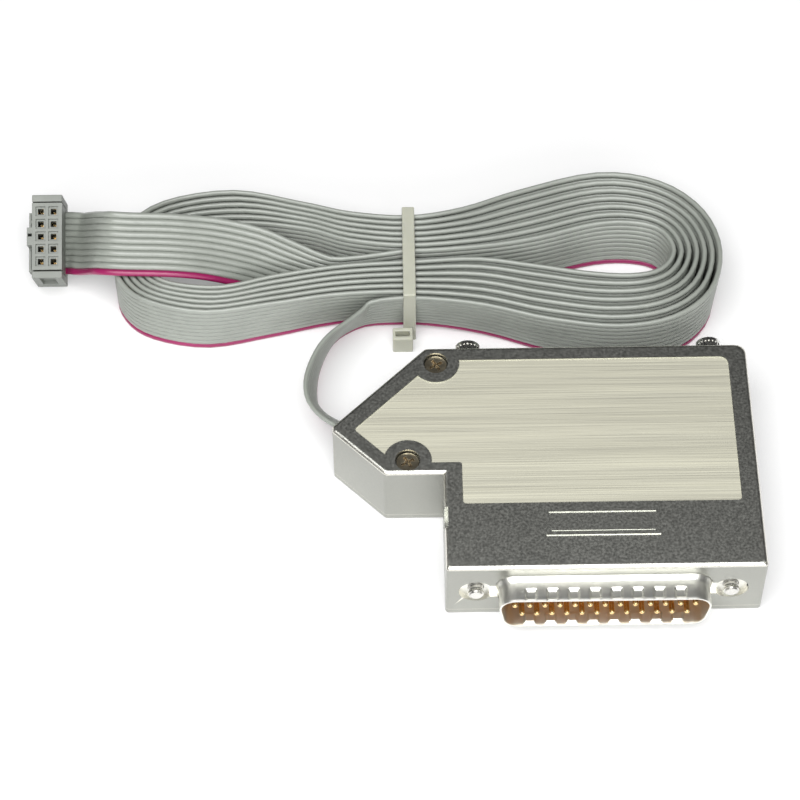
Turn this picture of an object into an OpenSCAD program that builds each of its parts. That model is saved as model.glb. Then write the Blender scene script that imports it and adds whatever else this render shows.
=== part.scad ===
// Microcontroller programmer built into a hood for a 25-way D-sub plug, with a 10-way ribbon lead
// tied in a hank and a 2 x 5 programming socket. Millimetres, +Z up, plug facing -Y.
// Working axes: X = 0 on the plug's centre line, Y = 0 on the hood's front face, Z = 0 underneath.

/* [Hood] */
// Thickness of the closed hood
hood_t = 15.8; // [15.4:0.1:17]
// Depth of the hood behind its front face
hood_d = 49.9; // [49:0.1:54]
// Reach of the wide part to the left of the plug's centre line
wide_left = 29.1; // [29:0.1:30]
// Reach of the wide part to the right of the plug's centre line
wide_right = 29.7; // [29:0.1:32]
// Reach of the wing's tip to the left of the plug's centre line
tip_reach = 49.8; // [49.4:0.1:50.4]
// Distance of the wing's front wall behind the hood's front face
wing_front = 21; // [20.6:0.1:21.2]
// Thickness of the hood's walls and ceiling
wall = 1.6; // [1.4:0.1:1.7]
// Thickness of the front wall, in front of the plug's flange
front_wall = 0.9; // [0.8:0.1:1]
// Thickness of the bottom cover
cover_t = 1.6; // [1.4:0.1:1.6]
// Rounding of the hood's long edges
edge_r = 0.8; // [0.5:0.1:0.9]
// Depth of the brushed panel in the hood's top
panel_depth = 0.2; // [0.1:0.05:0.3]
// Radius of the two recesses for the housing screws
screw_recess_r = 2.35; // [2.3:0.05:2.4]

/* [D-sub plug] */
// Inside width of the plug shell at its wide side
shell_w = 38.96; // [38.9:0.02:39]
// Inside height of the plug shell
shell_h = 8.36; // [8.3:0.02:8.4]
// Reach of the shell in front of the hood's front face
shell_out = 5; // [4.8:0.1:5.2]
// Thickness of the shell's sheet steel
sheet = 0.45; // [0.4:0.05:0.5]
// Distance from pin to pin along a row
pin_pitch = 2.76; // [2.74:0.01:2.78]
// Distance between the two rows of pins
row_pitch = 2.84; // [2.82:0.01:2.86]
// Diameter of a contact pin
pin_d = 1.02; // [1:0.01:1.04]

/* [Jackscrews] */
// Distance between the two jackscrews
screw_spacing = 47.04; // [47:0.01:47.1]
// Outer radius of the 4-40 thread
thread_r = 1.42; // [1.4:0.01:1.44]
// Radius of the knurled head
head_r = 2.4; // [2.2:0.1:2.5]
// Reach of the head behind the hood's rear face, screw drawn back
head_out = 5.6; // [5.2:0.1:6]
// Forward travel of a jackscrew
screw_travel = 4.8; // [4:0.1:5]

/* [Ribbon lead] */
// Number of conductors in the ribbon
conductors = 10; // [10:1:10]
// Distance from conductor to conductor
wire_pitch = 1.27; // [1.27:0.01:1.27]
// Thickness of the ribbon
ribbon_t = 0.9; // [0.8:0.05:0.95]

/* [Programming socket] */
// Length of the socket, over the cover's two arms
socket_l = 16.9; // [16.8:0.1:17.4]
// Width of the socket
socket_w = 6; // [5.8:0.1:6.2]
// Height of the socket's body above the ribbon
socket_h = 6.4; // [6:0.1:7]
// Thickness of the cover under the ribbon
socket_cover_t = 2.7; // [2.4:0.1:3]
// Tilt of the socket where it lies
socket_tilt = 27; // [26:0.5:28]

/* [Hidden] */

tiny = 0.01;
through = 1;                         // overrun of a cutting tool past a face
plug_z = hood_t / 2;                 // height of the plug's centre line
screw_x = screw_spacing / 2;         // each jackscrew's distance from the centre line
ceiling = hood_t - wall;             // underside of the hood's top
rear_corner_x = -32;                 // where the straight rear wall meets the wing
tip_rear_y = 32.1;                   // the tip's small flat runs from here
tip_front_y = 30.8;                  // to here
notch_y = 9.2;                       // notch in the left wall: its near end, length, height and depth
notch_l = 4.4;
notch_h = 3;
notch_depth = 0.7;
wing_corner_x = -40;                 // where the wing's front wall meets its slanted wall
corner_steps = 4;                    // facets of a rounded corner

// The origin is the centre of the box round the hood, plug and jackscrews, on the surface it lies on.
shift_x = (tip_reach - wide_right) / 2;
shift_y = (shell_out - hood_d - head_out) / 2;

// Housing screws, from the top into the bottom cover
rear_screw = [-30, 46.2];
front_screw = [-35.7, 24];
screw_boss_r = 3;
screw_shank_r = 1.2;
screw_hole_r = 1.35;
screw_head_r = 2.1;
screw_head_h = 1.5;
screw_head_z = hood_t - 0.7;         // top of the sunken heads
recess_z = screw_head_z - screw_head_h;
cover_boss_h = 5;

// Plug
flange_w = 53.04;
flange_h = 12.55;
flange_t = 0.5;
shell_angle = 10;
shell_corner = 2.6;
flange_y = front_wall;               // front face of the front flange
eyelet_r = 1.9;
eyelet_bore = 1.53;
dimple = 1.9;
dimple_pitch = 3.9;
dimple_depth = 0.2;
dimple_count = 8;
dimple_y = 0.6 - shell_out;
dimple_floor = plug_z + shell_h / 2 + sheet - dimple_depth;
insulator_split = 3.4;
insulator_rear = 8;
pin_front = 4.4;                     // pin tips, in front of the hood's front face
pin_rear = 12.6;
pin_clearance = 0.03;

// Jackscrews
front_port_r = 3.2;                  // opening in the front wall round each thread
port_slot_h = 3.8;
shaft_r = 1.4;
shaft_bore = 1.48;
sleeve_depth = screw_travel + 0.4;
sleeve_y = hood_d - sleeve_depth;    // floor of the sleeves
sleeve_bore = head_r + 0.3;
sleeve_r = 3.7;
sleeve_end = 1;
tip_out = 0.9;
thread_len = 9;
head_len = head_out - 0.3;
clip_t = 0.6;
clip_r = 2.9;
clip_groove_r = 1;
clip_bore = 1.06;
clip_y = sleeve_y - sleeve_end - 0.1 - clip_t;

// Circuit board
board_t = 1.6;
board_z = plug_z - board_t / 2;
board_top = board_z + board_t;
board_w = 36;
board_front = 9;
board_rear = 39.5;
post_x = 14;                         // posts under the board
post_r = 1.8;
chip_x = 5;
chip_y = 25.5;
chip_l = 25.4;
chip_w = 6.4;
chip_h = 3.3;
chip_legs_per_side = 10;
leg_pitch = 2.54;
leg_row = 7.62;

// Cable clamp inside the wing
clamp_x = -28.6;
clamp_w = 3.6;
clamp_top = 12;
clamp_bottom = 9.7;
clamp_front_y = 24.3;
clamp_rear_y = 42.1;
clamp_screw_y = 25.9;
clamp_shank_r = 1;
clamp_boss_r = 1.9;
clamp_hole_h = 1.9;
pad_z = 13;                          // the hood presses on the ribbon from here up
pad_y = 28;
pad_l = 12.4;

// Ribbon
ribbon_w = conductors * wire_pitch;
ribbon_corner = 0.25;
// Points of the lead from the hank to the circuit board: x, y, z of the ribbon's middle and its
// lean from upright, in degrees towards the right of the way it runs
LEAD = [
  [-42, 65.2, 6.6, -15], [-45.5, 63.4, 6.4, -21], [-48.5, 60.8, 6.4, -22], [-51, 57.2, 6.5, -14],
  [-52.9, 52.8, 6.8, -5], [-53.8, 48.4, 6.9, 3], [-53.7, 44.4, 7.1, 12], [-52.2, 41, 7.4, 24],
  [-49.4, 38.3, 7.8, 33], [-46, 36.2, 8.1, 36], [-42.5, 34.8, 9.2, 48], [-38.8, 34.3, 11, 68],
  [-35, 34.2, 12.2, 84], [-31, 34.2, 12.5, 90], [-26, 34.2, 12.5, 90], [-20, 34.2, 12.4, 90],
  [-17.4, 34.2, 11, 90], [-16, 34.2, 9.4, 90]
];
// Points of the tail from the hank to the socket, given in the same way
TAIL = [
  [-48, 74.3, 6.6, 0], [-54, 74.3, 7.2, 10], [-60, 74.8, 9.2, 28], [-66, 75.7, 11.5, 45],
  [-74, 76, 14.1, 58], [-82, 75.5, 16.1, 60], [-90, 75.4, 16.7, 60], [-94.5, 76, 16.4, 55],
  [-97.5, 78.4, 13.4, 42], [-100.2, 81.4, 9.4, 42], [-103, 83.6, 6.9, 59], [-109.6, 83.9, 6.7, 63]
];
// Outline of the hank seen from above: two loops, drawn in at the tie
HANK = [
  [-93.4, 75], [-91.4, 83], [-84, 89.4], [-70, 91.9], [-56, 88.7], [-46, 85.6], [-34.7, 84],
  [-24, 85.8], [-12, 90.3], [4, 94.3], [16, 92], [24, 85], [27.1, 75], [24.6, 65], [17, 58.6],
  [6, 56.8], [-7, 59], [-20, 62.8], [-34.7, 64.6], [-50, 64.5], [-62, 62.8], [-75, 61.2],
  [-86, 64], [-91.6, 68.6]
];
tie_x = -34.7;
tie_w = 2.5;
tie_t = 1.1;
tie_room = 0.3;
tie_front = 64.6;
tie_rear = 84;

// Socket, where the ribbon's tail ends
socket_at = [-106.8, 83.9, 6.7];
hole_pitch = 2.54;
hole_rows = 2;
hole_columns = 5;
hole_size = 1.15;
hole_lead_in = 1.95;
cavity_size = 1.6;

function unit(v) = v / norm(v);
function edge_normal(p, q) = unit([q[1] - p[1], p[0] - q[0]]);

// Moves the sides of a counter-clockwise outline outwards by d
function grown(points, d) = let (n = len(points)) [
  for (i = [0:n - 1]) let (
    a = edge_normal(points[(i + n - 1) % n], points[i]),
    b = edge_normal(points[i], points[(i + 1) % n])
  ) points[i] + d * (a + b) / (1 + a * b)
];

// Arc of corner_steps facets in place of the corner at v
function corner_arc(before, v, after, r) = let (
    a = unit(before - v),
    b = unit(after - v),
    half = acos(a * b) / 2,
    centre = v + unit(a + b) * r / sin(half),
    from = v + a * r / tan(half) - centre,
    to = v + b * r / tan(half) - centre,
    start = atan2(from[1], from[0]),
    raw = atan2(to[1], to[0]) - start,
    turn = raw > 180 ? raw - 360 : (raw < -180 ? raw + 360 : raw)
  ) [for (k = [0:corner_steps]) let (angle = start + turn * k / corner_steps)
      centre + r * [cos(angle), sin(angle)]];

// Rounds each corner of an outline with its own radius
function rounded(points, radii) = let (n = len(points)) [
  for (i = [0:n - 1])
    each corner_arc(points[(i + n - 1) % n], points[i], points[(i + 1) % n], radii[i])
];

// Smooth curve through points of any dimension, closed or open
function spline_at(a, b, c, d, t) = 0.5 * (2 * b + (c - a) * t + (2 * a - 5 * b + 4 * c - d) * t * t
  + (3 * b - a - 3 * c + d) * t * t * t);
function smooth_loop(points, steps) = let (n = len(points)) [
  for (i = [0:n - 1]) for (s = [0:steps - 1])
    spline_at(points[(i + n - 1) % n], points[i], points[(i + 1) % n], points[(i + 2) % n], s / steps)
];
function smooth_route(points, steps) = let (last = len(points) - 1) [
  for (i = [0:last - 1]) for (s = [0:steps - 1])
    spline_at(points[max(i - 1, 0)], points[i], points[i + 1], points[min(i + 2, last)], s / steps),
  points[last]
];

// One ring of a ribbon: its section set across the way it runs, leaning by the route's fourth value
ribbon_section = let (w = ribbon_w / 2, h = ribbon_t / 2, c = ribbon_corner) [
  [w, c - h], [w, h - c], [w - c, h], [c - w, h], [-w, h - c], [-w, c - h], [c - w, -h], [w - c, -h]
];
function ribbon_ring(route, k) = let (
    before = route[max(k - 1, 0)],
    after = route[min(k + 1, len(route) - 1)],
    way = unit([after[0] - before[0], after[1] - before[1], after[2] - before[2]]),
    right = unit([way[1], -way[0], 0]),
    across = cos(route[k][3]) * cross(right, way) + sin(route[k][3]) * right,
    proud = cross(way, across),
    middle = [route[k][0], route[k][1], route[k][2]]
  ) [for (p = ribbon_section) middle + p[0] * across + p[1] * proud];

// Closed skin over rings that have the same number of points
module skin(rings) {
  m = len(rings[0]);
  last = len(rings) - 1;
  sides = [for (k = [0:last - 1]) for (i = [0:m - 1]) for (half = [0, 1])
    half == 0
      ? [k * m + i, k * m + (i + 1) % m, (k + 1) * m + (i + 1) % m]
      : [k * m + i, (k + 1) * m + (i + 1) % m, (k + 1) * m + i]];
  first_cap = [for (i = [m - 1:-1:0]) i];
  last_cap = [for (i = [0:m - 1]) last * m + i];
  polyhedron(
    points = [for (ring = rings) each ring],
    faces = [for (f = concat(sides, [first_cap, last_cap])) [for (i = [len(f) - 1:-1:0]) f[i]]],
    convexity = 10
  );
}

module in_frame() {
  translate([shift_x, shift_y, 0]) children();
}

module along_y(at, r, length) {
  translate(at) rotate([-90, 0, 0]) cylinder(r = r, h = length, $fn = 48);
}

// The hood from above is two convex outlines that overlap: the wide part and the wing
wide_outline = [
  [wide_right, 0], [wide_right, hood_d], [-wide_left, hood_d], [-wide_left, 0]
];
wide_radii = [0.6, 2, 0.5, 0.6];
wing_outline = [
  [0, hood_d], [rear_corner_x, hood_d], [-tip_reach, tip_rear_y], [-tip_reach, tip_front_y],
  [wing_corner_x, wing_front], [0, wing_front]
];
wing_radii = [1, 1.2, 0.5, 0.5, 1.2, 1];

// The whole outline with a sharp tip, for the space inside
void_outline = [
  [wide_right, 0], [wide_right, hood_d], [rear_corner_x, hood_d],
  [-tip_reach - (tip_rear_y - tip_front_y) / 2, (tip_rear_y + tip_front_y) / 2],
  [wing_corner_x, wing_front], [-wide_left, wing_front], [-wide_left, 0]
];
void_radii = [0.6, 1.2, 0.8, 0.6, 0.6, 0.6, 0.6];

// Upright block with a rounded lower or upper edge
module soft_block(outline, radii, low, high, low_round, high_round) {
  function ring(inset, z) = [for (p = rounded(grown(outline, -inset), radii)) [p[0], p[1], z]];
  // how far each ring of a rounded edge lies from the side and from the block's end
  function fillet(r) = [for (a = [0, 22.5, 45, 67.5]) r * [1 - sin(a), 1 - cos(a)]];
  low_rings = low_round == 0 ? [] : [for (f = fillet(low_round)) ring(f[0], low + f[1])];
  high_fillet = fillet(high_round);
  high_rings = high_round == 0 ? [] :
    [for (i = [3:-1:0]) ring(high_fillet[i][0], high - high_fillet[i][1])];
  skin(concat(low_rings, [ring(0, low + low_round), ring(0, high - high_round)], high_rings));
}

module hood_block(low, high, low_round, high_round) {
  soft_block(wide_outline, wide_radii, low, high, low_round, high_round);
  soft_block(wing_outline, wing_radii, low, high, low_round, high_round);
}

module hood_void(low, high, inset) {
  translate([0, 0, low]) linear_extrude(high - low)
    polygon(rounded(grown(void_outline, -inset), void_radii));
}

// D-shaped outline of the plug, wide side up, in X and Z; it is turned to stand across Y
function plug_outline(margin) = let (
    wide = shell_w / 2,
    narrow = wide - shell_h * tan(shell_angle),
    high = shell_h / 2,
    sharp = [[-narrow, -high], [narrow, -high], [wide, high], [-wide, high]]
  ) rounded(grown(sharp, margin), [for (i = [0:3]) shell_corner + margin]);

module plug_prism(margin, from, to) {
  translate([0, to, plug_z]) rotate([90, 0, 0]) linear_extrude(to - from) polygon(plug_outline(margin));
}

module plate(w, h, from, to) {
  translate([-w / 2, from, plug_z - h / 2]) cube([w, to - from, h]);
}

// Each jackscrew side, as a child's place
module both_sides() {
  for (side = [-1, 1]) translate([side * screw_x, 0, 0]) children();
}

panel_outline = [
  [26, 14.2], [26, 46.8], [-30, 46.8], [-45.7, 31.1], [-38, 23.4], [-25.6, 23.4], [-25.6, 14.2]
];
panel_radii = [0.6, 1.6, 0.6, 0.6, 0.6, 0.4, 0.6];
screw_island_r = 4.5;

module panel_recess() {
  translate([0, 0, hood_t - panel_depth]) linear_extrude(panel_depth + through) difference() {
    polygon(rounded(panel_outline, panel_radii));
    translate(front_screw) circle(r = screw_island_r, $fn = 48);
    translate(rear_screw) circle(r = screw_island_r, $fn = 48);
    translate([rear_screw[0] - screw_island_r, rear_screw[1]]) square([2 * screw_island_r, 5]);
  }
}

nameplate_w = 21;
nameplate_h = 5.6;
nameplate_y = 7;
frame_w = 0.6;                       // the plate's frame: width and height
frame_h = 0.22;
plate_h = 0.12;
plate_inset = 1;

// Blank framed plate on the front band, raised above the hood's top
module nameplate() {
  translate([-nameplate_w / 2, nameplate_y, hood_t - tiny]) {
    difference() {
      cube([nameplate_w, nameplate_h, frame_h + tiny]);
      translate([frame_w, frame_w, -through])
        cube([nameplate_w - 2 * frame_w, nameplate_h - 2 * frame_w, frame_h + 2 * through]);
    }
    translate([plate_inset, plate_inset, 0])
      cube([nameplate_w - 2 * plate_inset, nameplate_h - 2 * plate_inset, plate_h + tiny]);
  }
}

// Sleeves in the rear wall that take the jackscrews' heads, hung from the ceiling
module sleeves() {
  both_sides() {
    along_y([0, sleeve_y - sleeve_end, plug_z], sleeve_r, sleeve_depth + sleeve_end - wall / 2);
    translate([-sleeve_r, sleeve_y - sleeve_end, plug_z])
      cube([2 * sleeve_r, sleeve_depth, ceiling - plug_z + tiny]);
  }
}

module sleeve_bores() {
  both_sides() {
    along_y([0, sleeve_y, plug_z], sleeve_bore, sleeve_depth + through);
    along_y([0, sleeve_y - sleeve_end - through, plug_z], shaft_bore, sleeve_end + 2 * through);
  }
}

hook_w = 2.8;
hook_t = 1.2;
hook_z = clamp_bottom - hook_t;

// Pad over the ribbon, boss of the clamp's screw and hook under the clamp's other end
module clamp_seat() {
  translate([clamp_x - hook_w / 2, pad_y, pad_z]) cube([hook_w, pad_l, ceiling - pad_z + tiny]);
  translate([clamp_x, clamp_screw_y, clamp_top])
    cylinder(r = clamp_boss_r, h = ceiling - clamp_top + tiny, $fn = 32);
  translate([clamp_x - hook_w / 2, clamp_rear_y + 0.1, hook_z])
    cube([hook_w, 0.9, ceiling - hook_z + tiny]);
  translate([clamp_x - hook_w / 2, clamp_rear_y - 1, hook_z]) cube([hook_w, hook_t, hook_t - 0.05]);
}

port_w = 10.6;                       // width of the lead's way out, along the slanted wall
port_middle = [-45.4, 36.5];

// Way out for the ribbon, square to the slanted wall
module ribbon_port(w, from, depth, low, height) {
  translate([port_middle[0], port_middle[1], low]) rotate([0, 0, 45])
    translate([-w / 2, from, 0]) cube([w, depth, height]);
}

// Walls and ceiling, open underneath
module hood_walls() {
  difference() {
    hood_block(cover_t, hood_t, 0, edge_r);
    intersection() {
      hood_void(cover_t - through, ceiling, wall);
      translate([-tip_reach - through, front_wall, 0])
        cube([tip_reach + wide_right + 2 * through, hood_d, hood_t]);
    }
    // the front wall is thinner than the others
    translate([-wide_left + wall, front_wall, cover_t - through])
      cube([wide_left + wide_right - 2 * wall, wall, ceiling - cover_t + through]);
  }
}

module top_shell() {
  color([0.62, 0.62, 0.59]) in_frame() difference() {
    union() {
      hood_walls();
      nameplate();
      // bosses round the housing screws
      for (at = [rear_screw, front_screw])
        translate([at[0], at[1], cover_boss_h + 0.1])
          cylinder(r = screw_boss_r, h = ceiling - cover_boss_h, $fn = 48);
      sleeves();
      clamp_seat();
    }
    panel_recess();
    plug_prism(sheet + 0.6, -through, front_wall + through);
    both_sides() along_y([0, -through, plug_z], front_port_r, front_wall + 2 * through);
    // the ports run into the plug's opening
    plate(screw_spacing, port_slot_h, -through, front_wall + through);
    // shallow notch at the top of the left wall
    translate([-wide_left - through, notch_y, hood_t - notch_h])
      cube([through + notch_depth, notch_l, notch_h + through]);
    sleeve_bores();
    for (at = [rear_screw, front_screw]) translate([at[0], at[1], 0]) {
      translate([0, 0, recess_z]) cylinder(r = screw_recess_r, h = hood_t, $fn = 48);
      cylinder(r = screw_hole_r, h = hood_t, $fn = 48);
    }
    translate([clamp_x, clamp_screw_y, clamp_top - through])
      cylinder(r = clamp_shank_r, h = through + clamp_hole_h, $fn = 32);
    ribbon_port(port_w, -2.2, 5, cover_t - through, ceiling - cover_t + through);
  }
}

lip_t = 1;
lip_h = 1.6;

module bottom_cover() {
  color([0.6, 0.6, 0.58]) in_frame() difference() {
    union() {
      hood_block(0, cover_t, 0.6, 0);
      // lip that locates the cover inside the hood
      difference() {
        hood_void(cover_t - tiny, cover_t + lip_h, wall + 0.1);
        hood_void(cover_t - through, cover_t + lip_h + through, wall + 0.1 + lip_t);
        translate([-tip_reach, -through, cover_t]) cube([2 * tip_reach, 10, 5]);
        ribbon_port(port_w + 0.6, -5, 8, cover_t, 5);
      }
      intersection() {
        hood_void(cover_t - tiny, cover_boss_h, wall + 0.1);
        for (at = [rear_screw, front_screw])
          translate([at[0], at[1], 0]) cylinder(r = screw_boss_r - 0.2, h = hood_t, $fn = 48);
      }
      // posts under the circuit board
      for (x = [-post_x, post_x], y = [18.5, 37])
        translate([x, y, cover_t - tiny]) cylinder(r = post_r, h = board_z - cover_t, $fn = 32);
    }
    for (at = [rear_screw, front_screw])
      translate([at[0], at[1], 1]) cylinder(r = screw_shank_r, h = cover_boss_h, $fn = 48);
  }
}

// Pan-head screw that points down, with a cross slot; its head's top is at z = 0
module pan_screw(head, head_h, shank, length, slot) {
  difference() {
    union() {
      translate([0, 0, -head_h]) cylinder(r = head, h = head_h, $fn = 48);
      translate([0, 0, -length]) cylinder(r = shank, h = length - head_h + tiny, $fn = 32);
    }
    for (turn = [0, 90]) rotate([0, 0, turn + 30])
      translate([-head * 0.62, -slot / 2, -head_h * 0.6]) cube([head * 1.24, slot, head_h]);
  }
}

module housing_screws() {
  color([0.55, 0.5, 0.42]) in_frame() for (at = [rear_screw, front_screw])
    translate([at[0], at[1], screw_head_z]) pan_screw(screw_head_r, screw_head_h, screw_shank_r, 13.5, 0.6);
}

module plug_front_shell() {
  color([0.78, 0.77, 0.72]) in_frame() difference() {
    union() {
      plate(flange_w, flange_h, flange_y, flange_y + flange_t);
      plug_prism(sheet, -shell_out, flange_y + tiny);
    }
    plug_prism(0, -shell_out - through, flange_y + flange_t + through);
    both_sides() along_y([0, 0, plug_z], eyelet_r, 3);
    // contact dimples in the shell's upper face
    for (i = [0:dimple_count - 1])
      translate([(i - (dimple_count - 1) / 2) * dimple_pitch - dimple / 2, dimple_y, dimple_floor])
        cube([dimple, dimple, 1]);
  }
}

rear_margin = 1.2;                   // the rear shell is this much larger all round than the front one

module plug_rear_shell() {
  color([0.76, 0.75, 0.7]) in_frame() difference() {
    union() {
      plate(flange_w, flange_h, flange_y + flange_t, flange_y + 2 * flange_t);
      plug_prism(rear_margin, flange_y + 2 * flange_t - tiny, 6.4);
    }
    plug_prism(rear_margin - 0.4, flange_y + 2 * flange_t - through - tiny, 6.4 + through);
    both_sides() along_y([0, 0, plug_z], eyelet_r, 5);
  }
}

// Places of the 25 pins, 13 in the upper row and 12 in the lower one
module at_pins() {
  for (i = [0:12]) translate([(i - 6) * pin_pitch, 0, plug_z + row_pitch / 2]) children();
  for (i = [0:11]) translate([(i - 5.5) * pin_pitch, 0, plug_z - row_pitch / 2]) children();
}

module front_insulator() {
  color([0.12, 0.12, 0.13]) in_frame() difference() {
    plug_prism(-0.05, 0.3, insulator_split);
    at_pins() along_y([0, 0, 0], pin_d / 2 + pin_clearance, 5);
  }
}

module rear_insulator() {
  color([0.14, 0.14, 0.15]) in_frame() difference() {
    union() {
      plug_prism(rear_margin - 0.45, insulator_split, 6.4);
      plug_prism(-0.4, 6.4 - tiny, insulator_rear);
    }
    at_pins() along_y([0, 3, 0], pin_d / 2 + pin_clearance, 6);
  }
}

// Turned pin: round nose, body and a solder tail that grips the board's edge
module contact_pins() {
  color([0.85, 0.66, 0.3]) in_frame() at_pins() rotate([-90, 0, 0]) rotate_extrude($fn = 32) polygon(concat(
    [[0, pin_rear]],
    [[0, -pin_front]],
    [for (a = [15:25:90]) [pin_d / 2 * sin(a), -pin_front + pin_d / 2 * (1 - cos(a))]],
    [[pin_d / 2, pin_rear]]
  ));
}

module flange_eyelets() {
  color([0.75, 0.74, 0.7]) in_frame() both_sides() difference() {
    along_y([0, flange_y, plug_z], eyelet_r - 0.02, 2 * flange_t);
    along_y([0, 0, plug_z], eyelet_bore, 5);
  }
}

// Spring clip that keeps a jackscrew in the hood and slides with it
module retaining_clip(x) {
  color([0.35, 0.36, 0.38]) in_frame() difference() {
    along_y([x, clip_y, plug_z], clip_r, clip_t);
    along_y([x, clip_y - through, plug_z], clip_bore, clip_t + 2 * through);
    translate([x - 0.9, clip_y - through, plug_z - clip_r - through]) cube([1.8, clip_t + 2 * through, 3]);
  }
}

module left_retaining_clip() {
  retaining_clip(-screw_x);
}

module right_retaining_clip() {
  retaining_clip(screw_x);
}

knurls = 20;
knurl = 0.32;                        // size of a groove in the head
head_y = hood_d + head_out - head_len;
screw_slot = 0.8;
screw_slot_depth = 1.2;
thread_end = thread_len - tip_out;
thread_pitch = 0.64;
thread_turns = 10;
thread_root_r = thread_r - 0.28;

// 4-40 jackscrew, drawn back: thread, plain shaft with the clip's groove, knurled head with a slot
module jackscrew(x) {
  color([0.7, 0.7, 0.68]) in_frame() translate([x, 0, plug_z]) difference() {
    union() {
      along_y([0, 0.3 - tip_out, 0], thread_r, thread_len);
      along_y([0, -tip_out, 0], thread_r - 0.3, 1);
      along_y([0, thread_end - 1, 0], shaft_r - 0.2, clip_y - thread_end + 0.9);
      along_y([0, clip_y - 1, 0], clip_groove_r, 3);
      along_y([0, clip_y + clip_t + 0.1, 0], shaft_r, hood_d - clip_y);
      along_y([0, head_y, 0], head_r, head_len);
    }
    for (k = [0:knurls - 1]) rotate([0, k * 360 / knurls, 0])
      translate([head_r, head_y + 0.7, 0]) rotate([0, 45, 0])
        translate([-knurl / 2, 0, -knurl / 2]) cube([knurl, head_len - 1.4, knurl]);
    translate([-head_r - 1, head_y + head_len - screw_slot_depth, -screw_slot / 2])
      cube([2 * head_r + 2, 2, screw_slot]);
    // cross grooves of the thread's turns
    for (k = [0:thread_turns - 1]) translate([0, 0.8 - tip_out + k * thread_pitch, 0]) rotate([-90, 0, 0])
      rotate_extrude($fn = 32)
        polygon([[thread_root_r, 0.16], [thread_r + 0.2, -0.1], [thread_r + 0.2, 0.42]]);
  }
}

module left_jackscrew() {
  jackscrew(-screw_x);
}

module right_jackscrew() {
  jackscrew(screw_x);
}

module circuit_board() {
  color([0.1, 0.38, 0.2]) in_frame() difference() {
    translate([-board_w / 2, board_front, board_z]) cube([board_w, board_rear - board_front, board_t]);
    for (side = [-1, 1], i = [0:chip_legs_per_side - 1])
      translate([chip_x + (i - 4.5) * leg_pitch, chip_y + side * leg_row / 2, board_z - through])
        cylinder(r = 0.4, h = board_t + 2 * through, $fn = 16);
  }
}

module buffer_chip() {
  color([0.1, 0.1, 0.11]) in_frame() difference() {
    translate([chip_x - chip_l / 2, chip_y - chip_w / 2, board_top + 0.5]) cube([chip_l, chip_w, chip_h]);
    translate([chip_x - chip_l / 2, chip_y, board_top + chip_h + 0.1]) cylinder(r = 1, h = 1, $fn = 32);
  }
}

module chip_legs() {
  color([0.75, 0.75, 0.75]) in_frame() for (side = [-1, 1], i = [0:chip_legs_per_side - 1])
    translate([chip_x + (i - 4.5) * leg_pitch, chip_y + side * leg_row / 2, 0]) {
      translate([-0.25, -0.15, board_z - 1]) cube([0.5, 0.3, board_t + 3.2]);
      translate([-0.7, side > 0 ? chip_w / 2 - leg_row / 2 : -0.15, board_top + 1.9])
        cube([1.4, leg_row / 2 - chip_w / 2 + 0.15, 0.3]);
    }
}

module resistors() {
  color([0.8, 0.7, 0.5]) in_frame() for (i = [0:3]) translate([-13 + i * 3.2, 15, board_top]) {
    along_y([0, 0, 1.1], 0.9, 3.4);
    along_y([0, -1.4, 1.1], 0.25, 6.2);
    for (y = [-1.15, 4.55]) translate([0, y, 0.01]) cylinder(r = 0.25, h = 1.1, $fn = 16);
  }
}

module bypass_capacitor() {
  color([0.75, 0.5, 0.2]) in_frame() translate([9, 35, board_top]) {
    translate([-2, -1, 1.2]) cube([4, 2, 3.4]);
    for (x = [-1.27, 1.27]) translate([x, 0, 0.01]) cylinder(r = 0.3, h = 1.5, $fn = 16);
  }
}

module cable_clamp() {
  color([0.2, 0.2, 0.22]) in_frame() difference() {
    translate([clamp_x - clamp_w / 2, clamp_front_y, clamp_bottom])
      cube([clamp_w, clamp_rear_y - clamp_front_y, clamp_top - clamp_bottom - 0.02]);
    translate([clamp_x, clamp_screw_y, 0]) cylinder(r = clamp_shank_r + 0.1, h = hood_t, $fn = 32);
  }
}

module clamp_screw() {
  color([0.6, 0.6, 0.6]) in_frame() translate([clamp_x, clamp_screw_y, clamp_bottom - 1.22])
    rotate([180, 0, 0]) pan_screw(1.7, 1.2, clamp_shank_r, 5.4, 0.5);
}

module ribbon(points) {
  route = smooth_route(points, 2);
  skin([for (k = [0:len(route) - 1]) ribbon_ring(route, k)]);
}

module ribbon_lead() {
  color([0.62, 0.64, 0.62]) in_frame() ribbon(LEAD);
}

module ribbon_hank() {
  color([0.6, 0.62, 0.6]) in_frame() difference() {
    linear_extrude(ribbon_w) polygon(smooth_loop(HANK, 2));
    // the tie's lower run lies in here
    translate([tie_x - tie_w / 2 - tie_room, tie_front - 5, -through])
      cube([tie_w + 2 * tie_room, tie_rear - tie_front + 10, tie_t + tie_room + through]);
  }
}

module ribbon_tail() {
  color([0.62, 0.64, 0.62]) in_frame() ribbon(TAIL);
}

// Strap of the cable tie: a frame closed round the hank's waist
module tie_strap() {
  color([0.85, 0.84, 0.72]) in_frame() difference() {
    translate([tie_x - tie_w / 2, tie_front - tie_t - tie_room, 0])
      cube([tie_w, tie_rear - tie_front + 2 * (tie_t + tie_room), ribbon_w + 2 * tie_t]);
    translate([tie_x - tie_w, tie_front - tie_room, tie_t])
      cube([2 * tie_w, tie_rear - tie_front + 2 * tie_room, ribbon_w + tie_room]);
  }
}

// Locking head of the tie, with the slot that the strap runs through
module tie_head() {
  color([0.85, 0.84, 0.72]) in_frame() difference() {
    translate([tie_x - 3.4, tie_front - tie_t - tie_room - 3, 0]) cube([4, 3, 4.4]);
    translate([tie_x - 2.8, tie_front - tie_t - tie_room - 2.1, -through]) cube([2.8, 1.2, 7]);
  }
}

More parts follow.
